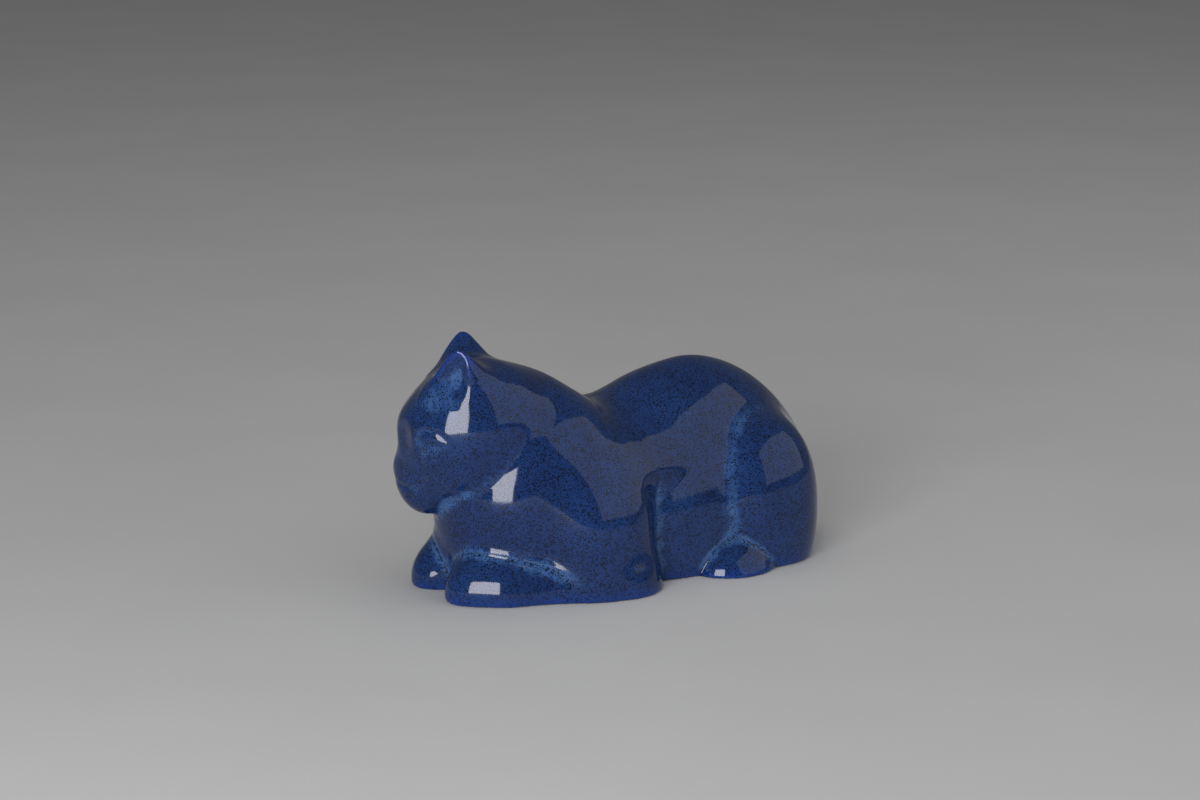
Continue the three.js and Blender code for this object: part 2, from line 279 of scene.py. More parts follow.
@dataclass(frozen=True)
class Head:
    """The head, in a frame of its own that is turned to the cat's right."""

    centre: Point = (-90.4, 3.1, 84.3)
    turn: float = math.radians(-32.9)
    skull: Ellipsoid = Ellipsoid((10.5, 0.0, 3.8), (33.0, 27.9, 33.0))
    brow: Ellipsoid = Ellipsoid((-9.6, 0.1, 2.6), (20.4, 20.0, 15.1))
    muzzle: Ellipsoid = Ellipsoid((-14.8, 0.0, -21.9), (17.2, 15.5, 22.2))
    cheek: Ellipsoid = Ellipsoid((2.5, -9.8, -2.0), (24.0, 18.6, 29.0))
    eye_hollow: Ellipsoid = Ellipsoid((-36.0, -19.0, -1.0), (12.0, 11.0, 12.0))
    ear: Ear = Ear()
    creases: tuple[Crease, ...] = (
        # The upper and the lower eyelid, the side of the nose, and the mouth's side and front.
        Crease(
            ((-19.8, -22.6, 2.2), (-14.4, -25.8, 5.0), (-8.9, -28.0, 4.6), (-3.9, -29.6, 0.8)),
            0.5,
            1.5,
        ),
        Crease(((-18.1, -24.2, -1.4), (-11.9, -27.4, -3.8), (-4.9, -29.5, -2.2)), 0.25, 1.5),
        Crease(((-20.0, -22.6, 2.0), (-17.9, -23.9, -7.9), (-16.9, -22.2, -16.1)), 0.7, 1.9),
        Crease(((-16.4, -19.5, -21.5), (-20.0, -15.0, -27.7), (-23.3, -11.0, -32.9)), 0.8, 1.7),
        Crease(((-20.0, -15.0, -27.7), (-27.0, -9.0, -27.0), (-30.2, 0.0, -24.5)), 0.9, 1.7),
    )
    # The eyeball and the tip of the nose.
    swells: tuple[Swell, ...] = (
        Swell((-11.8, -27.0, 0.8), (7.5, 7.5, 3.4), 0.3),
        Swell((-30.5, 0.0, -17.5), (6.0, 7.0, 5.0), 0.9),
    )
    line_milk: float = 0.55
    # Where the glaze is milky on the temple and under the eye.
    pale: tuple[Swell, ...] = (
        Swell((-8.0, -21.0, 19.0), (13.0, 13.0, 9.0), 0.6),
        Swell((-13.0, -25.0, -6.0), (7.0, 9.0, 4.5), 0.45),
    )
    skull_melt: float = 10.0
    cheek_melt: float = 12.0
    eye_melt: float = 5.0
    ear_melt: float = 5.0

    def own_frame(self, points: np.ndarray) -> np.ndarray:
        """Turns points into the head's frame, on its left side.

        Args:
            points: Points in the cat's frame.

        Returns:
            Points in the head's frame.
        """
        c, s = math.cos(self.turn), math.sin(self.turn)
        q = points - np.array(self.centre)
        x, y, z = q.T
        return mirrored(np.stack([c * x + s * y, c * y - s * x, z], axis=1))

    def milk(self, points: np.ndarray) -> np.ndarray:
        """Gives how milky the glaze is along the face's creases and on its temples.

        Args:
            points: Points in the cat's frame.

        Returns:
            Numbers from 0 to 1.
        """
        q = self.own_frame(points)
        lines = [self.line_milk * crease.share(q) for crease in self.creases]
        return np.max([*lines, *(patch.relief(q) for patch in self.pale)], axis=0)

    def distance(self, points: np.ndarray) -> np.ndarray:
        """Gives how far points are outside the head.

        Args:
            points: Points in the cat's frame.

        Returns:
            Distances, negative inside.
        """
        q = self.own_frame(points)
        d = melt(self.skull.distance(q), self.brow.distance(q), self.skull_melt)
        d = melt(d, self.muzzle.distance(q), self.skull_melt)
        d = melt(d, self.cheek.distance(q), self.cheek_melt)
        d = carve(d, self.eye_hollow.distance(q), self.eye_melt)
        for swell in self.swells:
            d = d - swell.relief(q)
        for crease in self.creases:
            d = d + crease.depth * crease.share(q)
        return melt(d, self.ear.distance(q), self.ear_melt)


@dataclass(frozen=True)
class Tail:
    """The tail, an arc about the rump along the foot of the right haunch."""

    centre: tuple[float, float] = (60.0, 8.0)
    reach: tuple[float, float] = (57.0, 46.0)
    start: float = math.radians(5.0)
    end: float = math.radians(128.0)
    steps: int = 8
    height: float = 7.0
    radii: tuple[float, float] = (11.0, 7.5)

    def distance(self, points: np.ndarray) -> np.ndarray:
        """Gives how far points are outside the tail.

        Args:
            points: Points in the cat's frame.

        Returns:
            Distances, negative inside.
        """
        angles = np.linspace(self.start, self.end, self.steps + 1)
        radii = np.linspace(*self.radii, self.steps + 1)
        xs = self.centre[0] + self.reach[0] * np.cos(angles)
        ys = self.centre[1] + self.reach[1] * np.sin(angles)
        line = [(x, y, self.height) for x, y in zip(xs, ys)]
        ends = zip(line, line[1:], zip(radii, radii[1:]))
        return np.min([RoundCone(*end).distance(points) for end in ends], axis=0)


@dataclass(frozen=True)
class Groove:
    """A fine groove along the crease where two forms meet."""

    depth: float
    width: float

    def relief(self, one: np.ndarray, other: np.ndarray) -> np.ndarray:
        """Gives how deep the groove is.

        Args:
            one: Distances to one form.
            other: Distances to the form that it meets.

        Returns:
            Depths, to add to the distances.
        """
        return self.depth * near(one - other, self.width)


@dataclass(frozen=True)
class CatParts:
    """Distances to the parts that the cat's form is joined from, at some points."""

    points: np.ndarray
    front: np.ndarray
    trunk: np.ndarray
    leg: np.ndarray
    elbow: np.ndarray
    back: np.ndarray
    thigh: np.ndarray
    foot: np.ndarray
    tail: np.ndarray

    def leg_gap(self) -> np.ndarray:
        """Gives how far points are from the fold along the foreleg."""
        return np.abs(self.front - self.leg)

    def foot_gap(self) -> np.ndarray:
        """Gives how far points are from the fold about the hind foot."""
        return np.abs(np.minimum(self.trunk, self.thigh) - self.foot)


@dataclass(frozen=True)
class CatForm:
    """The whole cat as one form, which stands on the ground at z = 0."""

    origin: Point = (4.6, 0.0, 0.0)
    rump: Ellipsoid = Ellipsoid((47.1, 0.0, 22.0), (81.8, 46.5, 84.6), 1.81)
    belly: Ellipsoid = Ellipsoid((18.1, 0.0, 22.1), (49.0, 44.0, 71.2))
    neck: RoundCone = RoundCone((-86.8, -2.0, 77.5), (-21.2, 0.0, 43.2), (7.6, 40.9))
    breast: Ellipsoid = Ellipsoid((-58.0, 0.0, 41.5), (42.2, 42.0, 71.8))
    shoulder: RoundCone = RoundCone((-37.1, -11.4, 66.5), (-33.0, -14.0, 40.0), (27.5, 27.5))
    upper_arm: Ellipsoid = Ellipsoid((-30.0, -24.5, 10.0), (31.0, 35.0, 62.0), 2.5)
    forearm: RoundCone = RoundCone((-20.6, -40.2, 1.0), (-75.4, -21.9, 4.0), (20.6, 21.6))
    paw: Ellipsoid = Ellipsoid((-88.0, -16.9, 4.5), (20.7, 14.5, 18.6))
    thigh: Ellipsoid = Ellipsoid((72.1, -30.0, 26.7), (33.0, 28.5, 50.9), 2.3)
    hind_foot: Ellipsoid = Ellipsoid((48.5, -43.0, -4.6), (24.1, 20.0, 23.7))
    head: Head = Head()
    tail: Tail = Tail()
    belly_melt: float = 18.0
    neck_melt: float = 20.0
    shoulder_melt: float = 22.0
    arm_melt: float = 16.0
    waist_melt: Point = (4.0, 26.0, 18.0)
    waist_heights: tuple[float, float] = (40.0, 64.0)
    saddle_heights: tuple[float, float] = (74.0, 92.0)
    head_melt: tuple[float, float] = (4.5, 10.0)
    nape_heights: tuple[float, float] = (72.0, 100.0)
    paw_melt: float = 14.0
    leg_melt: tuple[float, float] = (8.6, 12.0)
    elbow_place: tuple[float, float] = (-52.0, -22.0)
    groove_place: tuple[float, float] = (48.0, 66.0)
    # The flanks of the chest, before and behind the shoulder.
    swells: tuple[Swell, ...] = (
        Swell((-88.0, -30.0, 46.0), (20.0, 20.0, 16.0), 0.5),
        Swell((-53.0, -44.0, 55.0), (16.0, 16.0, 28.0), 1.0),
    )
    haunch_melt: tuple[float, float] = (7.5, 16.0)
    haunch_place: tuple[float, float] = (58.0, 92.0)
    foot_melt: float = 4.0
    tail_melt: float = 4.0
    ground_melt: float = 2.2
    leg_groove: Groove = Groove(0.3, 1.5)
    elbow_groove: Groove = Groove(0.7, 1.3)
    foot_groove: Groove = Groove(0.4, 1.3)
    least_slope: float = 0.05

    def parts(self, points: np.ndarray) -> CatParts:
        """Gives the distances that the form is joined from.

        Args:
            points: Points in the urn's frame, in millimetres.

        Returns:
            The distances, and how far points are past the elbow and towards the rear.
        """
        p = points + np.array(self.origin)
        m = mirrored(p)
        height = p[:, 2]
        rear = melt(self.rump.distance(p), self.belly.distance(p), self.belly_melt)
        front = melt(self.neck.distance(p), self.breast.distance(p), self.neck_melt)
        front = melt(front, self.shoulder.distance(m), self.shoulder_melt)
        front = melt(front, self.upper_arm.distance(m), self.arm_melt)
        leg = melt(self.forearm.distance(m), self.paw.distance(m), self.paw_melt)
        elbow = smooth_step(*self.elbow_place, p[:, 0])
        limb = melt(front, leg, between(*self.leg_melt, elbow))
        limb = limb + (1.0 - elbow) * self.leg_groove.relief(front, leg)
        low, middle, high = self.waist_melt
        waist = between(low, middle, smooth_step(*self.waist_heights, height))
        waist = between(waist, high, smooth_step(*self.saddle_heights, height))
        grooved = 1.0 - smooth_step(*self.groove_place, height)
        trunk = melt(rear, limb, waist) + grooved * self.elbow_groove.relief(rear, limb)
        for swell in self.swells:
            trunk = trunk - swell.relief(m)
        nape = between(*self.head_melt, smooth_step(*self.nape_heights, height))
        return CatParts(
            points=p,
            front=front,
            trunk=melt(trunk, self.head.distance(p), nape),
            leg=leg,
            elbow=elbow,
            back=smooth_step(*self.haunch_place, p[:, 0]),
            thigh=self.thigh.distance(m),
            foot=self.hind_foot.distance(p),
            tail=self.tail.distance(p),
        )

    def distance(self, points: np.ndarray) -> np.ndarray:
        """Gives how far points are outside the urn, fine grooves and rounded foot edge included.

        Args:
            points: Points in the urn's frame, in millimetres.

        Returns:
            Distances, negative inside.
        """
        part = self.parts(points)
        d = melt(part.trunk, part.thigh, between(*self.haunch_melt, part.back))
        d = melt(d, part.foot, self.foot_melt) + self.foot_groove.relief(d, part.foot)
        d = melt(d, part.tail, self.tail_melt)
        return carve(d, part.points[:, 2], self.ground_melt)

    def slope(self, points: np.ndarray, step: float = 0.15) -> np.ndarray:
        """Gives the direction in which the distance grows.

        Args:
            points: Points in the urn's frame, in millimetres.
            step: How far apart the distances are taken.

        Returns:
            The slopes, one a row.
        """
        corners = np.array([[1, -1, -1], [-1, -1, 1], [-1, 1, -1], [1, 1, 1]], dtype=float)
        found = np.zeros_like(points)
        for corner in corners:
            found += corner * self.distance(points + step * corner)[:, None]
        return found / (4.0 * step)

    def normal(self, points: np.ndarray) -> np.ndarray:
        """Gives the form's outward normals.

        Args:
            points: Points in the urn's frame, in millimetres.

        Returns:
            The normals, one a row.
        """
        slope = self.slope(points)
        return slope / np.maximum(np.linalg.norm(slope, axis=1, keepdims=True), TINY)

    def bend(self, points: np.ndarray, reach: float) -> np.ndarray:
        """Gives how much the form bends, positive over ridges and negative in hollows.

        Args:
            points: Points on the form, in millimetres.
            reach: How far to each side the normals are compared.

        Returns:
            The sums of both curvatures, per millimetre.
        """
        normal = self.normal(points)
        axis = np.eye(3)[np.argmin(np.abs(normal), axis=1)]
        one = np.cross(normal, axis)
        one /= np.linalg.norm(one, axis=1, keepdims=True)
        total = np.zeros(len(points))
        for side in (one, np.cross(normal, one)):
            turn = self.normal(points + reach * side) - self.normal(points - reach * side)
            total += (turn * side).sum(axis=1) / (2.0 * reach)
        return total

    def settle(self, points: np.ndarray, steps: int, limit: float) -> np.ndarray:
        """Moves points onto the form.

        Args:
            points: Points in the urn's frame, in millimetres.
            steps: Newton's steps.
            limit: The most that a step may move a point.

        Returns:
            The moved points.
        """
        for _ in range(steps):
            slope = self.slope(points)
            square = np.maximum((slope * slope).sum(axis=1), self.least_slope)
            shift = -(self.distance(points) / square)[:, None] * slope
            length = np.linalg.norm(shift, axis=1, keepdims=True)
            points = points + shift * np.minimum(1.0, limit / np.maximum(length, TINY))
        return points


# Mesh work


def select_only(obj: bpy.types.Object) -> None:
    """Selects this object alone and makes it the active one.

    Args:
        obj: The object to select.
    """
    bpy.ops.object.select_all(action="DESELECT")
    obj.select_set(True)
    bpy.context.view_layer.objects.active = obj


def merged_copy(node: bpy.types.Object, name: str) -> bpy.types.Object:
    """Copies a CAD node and merges its loose triangles.

    Args:
        node: The node to copy.
        name: The copy's name.

    Returns:
        The copy, with no material.
    """
    mesh = node.data.copy()
    mesh.name = name
    mesh.transform(node.matrix_world)
    mesh.materials.clear()
    copy = bpy.data.objects.new(name, mesh)
    bpy.context.scene.collection.objects.link(copy)
    select_only(copy)
    bpy.ops.object.mode_set(mode="EDIT")
    bpy.ops.mesh.select_all(action="SELECT")
    bpy.ops.mesh.customdata_custom_splitnormals_clear()
    bpy.ops.mesh.remove_doubles(threshold=MERGE_REACH)
    bpy.ops.object.mode_set(mode="OBJECT")
    return copy


def select_faces(obj: bpy.types.Object, chosen: np.ndarray) -> None:
    """Goes into edit mode with these faces selected alone.

    Args:
        obj: The mesh object.
        chosen: Whether each face is chosen.
    """
    select_only(obj)
    mesh = obj.data
    mesh.vertices.foreach_set("select", np.zeros(len(mesh.vertices), dtype=bool))
    mesh.edges.foreach_set("select", np.zeros(len(mesh.edges), dtype=bool))
    mesh.polygons.foreach_set("select", np.asarray(chosen, dtype=bool))
    bpy.ops.object.mode_set(mode="EDIT")
    bpy.ops.mesh.select_mode(type="FACE")


def extrude_selected(rise: float) -> None:
    """Extrudes what is selected in edit mode, straight up by so many millimetres."""
    bpy.ops.mesh.extrude_region_move(TRANSFORM_OT_translate={"value": (0.0, 0.0, rise * MM)})


def read_points(mesh: bpy.types.Mesh) -> np.ndarray:
    """Reads a mesh's vertices in millimetres, one a row."""
    flat = np.empty(len(mesh.vertices) * 3)
    mesh.vertices.foreach_get("co", flat)
    return flat.reshape(-1, 3) / MM


def write_points(mesh: bpy.types.Mesh, points: np.ndarray) -> None:
    """Puts a mesh's vertices at these places, in millimetres."""
    mesh.vertices.foreach_set("co", (points * MM).ravel())
    mesh.update()


def face_middles(mesh: bpy.types.Mesh) -> tuple[np.ndarray, np.ndarray]:
    """Reads the middles and normals of a mesh's faces.

    Args:
        mesh: The mesh.

    Returns:
        The middles in millimetres and the normals, one a row.
    """
    middles = np.empty(len(mesh.polygons) * 3)
    normals = np.empty(len(mesh.polygons) * 3)
    mesh.polygons.foreach_get("center", middles)
    mesh.polygons.foreach_get("normal", normals)
    return middles.reshape(-1, 3) / MM, normals.reshape(-1, 3)


def spread_out(mesh: bpy.types.Mesh, values: np.ndarray, rounds: int) -> np.ndarray:
    """Lets values run out into the vertices about them.

    Args:
        mesh: The mesh.
        values: Numbers or points, one for each vertex.
        rounds: How often each is averaged with its neighbours.

    Returns:
        The softened values.
    """
    ends = np.empty(len(mesh.edges) * 2, dtype=np.int64)
    mesh.edges.foreach_get("vertices", ends)
    one, other = ends.reshape(-1, 2).T
    size = len(mesh.vertices)
    count = np.maximum(np.bincount(ends, minlength=size), 1)
    columns = values.reshape(size, -1)
    for _ in range(rounds):
        sums = [
            np.bincount(one, column[other], size) + np.bincount(other, column[one], size)
            for column in columns.T
        ]
        columns = (columns + np.stack(sums, axis=1) / count[:, None]) / 2.0
    return columns.reshape(values.shape)


def apply_modifier(obj: bpy.types.Object, kind: str, **settings: object) -> None:
    """Adds a modifier to an object and applies it.

    Args:
        obj: The object.
        kind: The modifier's type.
        **settings: The modifier's settings.
    """
    modifier = obj.modifiers.new(kind.lower(), kind)
    for key, value in settings.items():
        setattr(modifier, key, value)
    select_only(obj)
    bpy.ops.object.modifier_apply(modifier=modifier.name)


# Shader work


class Graph:
    """Adds nodes to one node tree and joins them."""

    def __init__(self, tree: bpy.types.NodeTree) -> None:
        """Starts on a node tree."""
        self.tree = tree

    def add(self, kind: str, **settings: object) -> bpy.types.Node:
        """Adds a node.

        Args:
            kind: The node's type.
            **settings: The node's own settings.

        Returns:
            The node.
        """
        node = self.tree.nodes.new(kind)
        for key, value in settings.items():
            setattr(node, key, value)
        return node

    def feed(self, socket: Socket, source: object) -> None:
        """Joins an output to a socket, or sets the socket's own value.

        Args:
            socket: The input.
            source: An output, a number or a colour.
        """
        if isinstance(source, Socket):
            self.tree.links.new(source, socket)
        elif isinstance(source, (int, float)):
            socket.default_value = source
        else:
            values = tuple(source)
            socket.default_value = values + (1.0,) * (len(socket.default_value) - len(values))

    def filled(self, kind: str, *sources: object, **settings: object) -> Socket:
        """Adds a node and fills its first inputs.

        Args:
            kind: The node's type.
            *sources: What feeds its inputs, from the first one on.
            **settings: The node's own settings.

        Returns:
            Its first output.
        """
        node = self.add(kind, **settings)
        for socket, source in zip(node.inputs, sources):
            self.feed(socket, source)
        return node.outputs[0]

    def math(self, operation: str, a: object, b: object) -> Socket:
        """Works out one operation on two values."""
        return self.filled("ShaderNodeMath", a, b, operation=operation)

    def times(self, a: object, b: object) -> Socket:
        """Multiplies two values."""
        return self.math("MULTIPLY", a, b)

    def varied(self, base: object, value: object, share: float, middle: float = 0.0) -> Socket:
        """Adds a share of one value to another.

        Args:
            base: What is added to.
            value: The value whose share is added.
            share: The share, which may be negative.
            middle: Where the value adds nothing.

        Returns:
            The sum.
        """
        off = self.math("SUBTRACT", value, middle) if middle else value
        return self.math("ADD", base, self.times(off, share))

    def clamped(self, value: object) -> Socket:
        """Keeps a value between 0 and 1."""
        return self.filled("ShaderNodeClamp", value)

    def between(self, low: float, high: float, value: object) -> Socket:
        """Rises smoothly from 0 where the value is low to 1 where it is high.

        Args:
            low: The value at 0.
            high: The value at 1, which may be the lower one.
            value: The value.

        Returns:
            A mask.
        """
        ends = (low, high, 0.0, 1.0) if low < high else (high, low, 1.0, 0.0)
        return self.filled("ShaderNodeMapRange", value, *ends, interpolation_type="SMOOTHSTEP")

    def mix(self, share: object, a: object, b: object) -> Socket:
        """Mixes two colours.

        Args:
            share: How much of the second colour there is.
            a: The first colour.
            b: The second colour.

        Returns:
            The mixed colour.
        """
        node = self.add("ShaderNodeMix", data_type="RGBA")
        for index, source in ((0, share), (6, a), (7, b)):
            self.feed(node.inputs[index], source)
        return node.outputs[2]

    def noise(self, vector: object, scale: object, detail: float, roughness: float) -> Socket:
        """Adds a noise pattern.

        Args:
            vector: Where it is read.
            scale: How fine it is, in waves a metre.
            detail: How many finer layers it has.
            roughness: How strong those are.

        Returns:
            Its value.
        """
        node = self.add("ShaderNodeTexNoise")
        for key, source in (
            ("Vector", vector),
            ("Scale", scale),
            ("Detail", detail),
            ("Roughness", roughness),
        ):
            self.feed(node.inputs[key], source)
        return node.outputs[0]


class EffectGroup(ABC):
    """A shader node group that is built once and placed in several materials."""

    name: str
    inputs: tuple[str, ...]
    output: str

    def __init__(self) -> None:
        """Builds the group."""
        self.tree = bpy.data.node_groups.new(self.name, "ShaderNodeTree")
        number, sockets = "NodeSocketFloat", self.tree.interface
        for key in self.inputs:
            kind = "NodeSocketVector" if key == "Vector" else number
            sockets.new_socket(name=key, in_out="INPUT", socket_type=kind)
        sockets.new_socket(name=self.output, in_out="OUTPUT", socket_type=number)
        graph = Graph(self.tree)
        source = graph.add("NodeGroupInput")
        target = graph.add("NodeGroupOutput")
        graph.feed(target.inputs[0], self.value(graph, *(source.outputs[k] for k in self.inputs)))

    @abstractmethod
    def value(self, graph: Graph, *sources: Socket) -> Socket:
        """Makes the group's nodes from its inputs and gives their result."""


class Speckle(EffectGroup):
    """Fine uneven dots, such as iron specks in a glaze or grog in clay."""

    name, inputs, output = "speckle", ("Vector", "Scale", "Amount"), "Mask"
    patch_scale, patchiness = 0.12, 0.9
    least_size, size_range = 0.42, 0.35
    fade_in, edge = 5.0, 6.0

    def value(self, graph: Graph, vector: Socket, scale: Socket, amount: Socket) -> Socket:
        """Makes the nodes.

        Args:
            graph: The group's graph.
            vector: Where the dots are read.
            scale: How many there are a metre.
            amount: How much of the surface has them, from 0 to 1.

        Returns:
            The mask of the dots.
        """
        cells = graph.add("ShaderNodeTexVoronoi", feature="F1", voronoi_dimensions="3D")
        graph.feed(cells.inputs["Vector"], vector)
        graph.feed(cells.inputs["Scale"], scale)
        own = graph.add("ShaderNodeSeparateColor")
        graph.feed(own.inputs[0], cells.outputs["Color"])
        patchy = graph.noise(vector, graph.times(scale, self.patch_scale), 2.0, 0.5)
        share = graph.varied(amount, patchy, self.patchiness, 0.5)
        present = graph.times(graph.math("SUBTRACT", share, own.outputs[0]), self.fade_in)
        size = graph.varied(self.least_size, own.outputs[1], self.size_range)
        dot = graph.times(graph.math("SUBTRACT", size, cells.outputs["Distance"]), self.edge)
        return graph.times(graph.clamped(present), graph.clamped(dot))


class Mottle(EffectGroup):
    """Broad soft patches of more and less."""

    name, inputs, output = "mottle", ("Vector", "Scale"), "Patches"
    ends = (0.3, 0.7)

    def value(self, graph: Graph, vector: Socket, scale: Socket) -> Socket:
        """Makes the nodes for patches from 0 to 1."""
        return graph.between(*self.ends, graph.noise(vector, scale, 3.0, 0.55))


class Flow(EffectGroup):
    """The slight swell of a surface that has flowed or been moulded."""

    name, inputs, output = "swell", ("Vector", "Scale", "Rise"), "Height"
    fine_scale, fine_share = 5.0, 0.12

    def value(self, graph: Graph, vector: Socket, scale: Socket, rise: Socket) -> Socket:
        """Makes the nodes.

        Args:
            graph: The group's graph.
            vector: Where the swell is read.
            scale: How many waves there are a metre.
            rise: How high they are, in metres.

        Returns:
            Heights in metres.
        """
        broad = graph.noise(vector, scale, 1.0, 0.4)
        fine = graph.noise(vector, graph.times(scale, self.fine_scale), 1.0, 0.5)
        return graph.times(graph.varied(broad, fine, self.fine_share), rise)


@dataclass(frozen=True)
class Effects:
    """The node groups that the finishes share."""

    speckle: Speckle = field(default_factory=Speckle)
    mottle: Mottle = field(default_factory=Mottle)
    flow: Flow = field(default_factory=Flow)


class Paint(Graph):
    """The graph of one material on object coordinates, with the shared effects at hand."""

    def __init__(self, name: str, effects: Effects) -> None:
        """Starts the material.

        Args:
            name: The material's name.
            effects: The shared node groups.
        """
        self.material = bpy.data.materials.new(name)
        self.material.use_nodes = True
        super().__init__(self.material.node_tree)
        self.effects = effects
        self.shader = self.tree.nodes["Principled BSDF"]
        self.place = self.add("ShaderNodeTexCoord").outputs["Object"]

    def effect(self, group: EffectGroup, *sources: object) -> Socket:
        """Places an effect that is read at the object's own coordinates."""
        return self.filled("ShaderNodeGroup", self.place, *sources, node_tree=group.tree)

    def patches(self, scale: float) -> Socket:
        """Adds soft patches, so many a metre."""
        return self.effect(self.effects.mottle, scale)

    def dots(self, scale: float, amount: object) -> Socket:
        """Adds fine dots, so many a metre, on a share of the surface."""
        return self.effect(self.effects.speckle, scale, amount)

    def swell(self, scale: float, rise: float) -> Socket:
        """Adds a slight swell, with its rise in metres."""
        return self.effect(self.effects.flow, scale, rise)

    def dress(self, **sources: object) -> None:
        """Feeds the surface shader.

        Args:
            **sources: What feeds each input, with _ for a space in its name.
        """
        for key, source in sources.items():
            self.feed(self.shader.inputs[key.replace("_", " ")], source)

    def bump(self, height: Socket) -> None:
        """Feeds heights in metres to the shader's normal.

        Args:
            height: The heights.
        """
        node = self.add("ShaderNodeBump")
        for key, source in (("Strength", 1.0), ("Distance", 1.0), ("Height", height)):
            self.feed(node.inputs[key], source)
        self.dress(Normal=node.outputs[0])


@dataclass(frozen=True)
class MattFinish:
    """A matt surface with soft patches and, where it has them, fine dots and a slight swell."""

    name: str
    colour: Point
    patch: Point
    patch_scale: float
    roughness: float
    patch_roughness: float = 0.0
    specular: float = 0.5
    dot: Point = (0.0, 0.0, 0.0)
    dot_scale: float = 0.0
    dot_amount: float = 0.0
    dot_share: float = 0.0
    swell_scale: float = 0.0
    rise: float = 0.0

    def material(self, effects: Effects) -> bpy.types.Material:
        """Makes the finish.

        Args:
            effects: The shared node groups.

        Returns:
            The material.
        """
        paint = Paint(self.name, effects)
        patches = paint.patches(self.patch_scale)
        colour = paint.mix(patches, self.colour, self.patch)
        if self.dot_share:
            colour = self.dotted(paint, colour)
        rough = self.roughness
        if self.patch_roughness:
            rough = paint.varied(rough, patches, self.patch_roughness)
        paint.dress(Base_Color=colour, Roughness=rough, Specular_IOR_Level=self.specular)
        if self.rise:
            paint.bump(paint.swell(self.swell_scale, self.rise))
        return paint.material

    def dotted(self, paint: Paint, colour: object) -> Socket:
        """Sets the finish's dots into a colour."""
        dots = paint.dots(self.dot_scale, self.dot_amount)
        return paint.mix(paint.times(dots, self.dot_share), colour, self.dot)


BARE_CLAY = MattFinish(
    name="bare_clay",
    colour=(0.55, 0.49, 0.40),
    patch=(0.40, 0.34, 0.27),
    patch_scale=60.0,
    roughness=0.82,
    dot=(0.25, 0.2, 0.15),
    dot_scale=700.0,
    dot_amount=0.35,
    dot_share=0.4,
    swell_scale=400.0,
    rise=0.00005,
)
MOULDED_RUBBER = MattFinish(
    name="stopper_rubber",
    colour=(0.030, 0.029, 0.028),
    patch=(0.055, 0.053, 0.050),
    patch_scale=120.0,
    roughness=0.62,
    patch_roughness=0.12,
    dot=(0.12, 0.115, 0.11),
    dot_scale=1300.0,
    dot_amount=0.3,
    dot_share=0.35,
    swell_scale=900.0,
    rise=0.00003,
)
PALE_FLOOR = MattFinish(
    name="pale_floor",
    colour=(0.68, 0.68, 0.68),
    patch=(0.7004, 0.7004, 0.7004),
    patch_scale=6.0,
    roughness=0.9,
    specular=0.2,
)


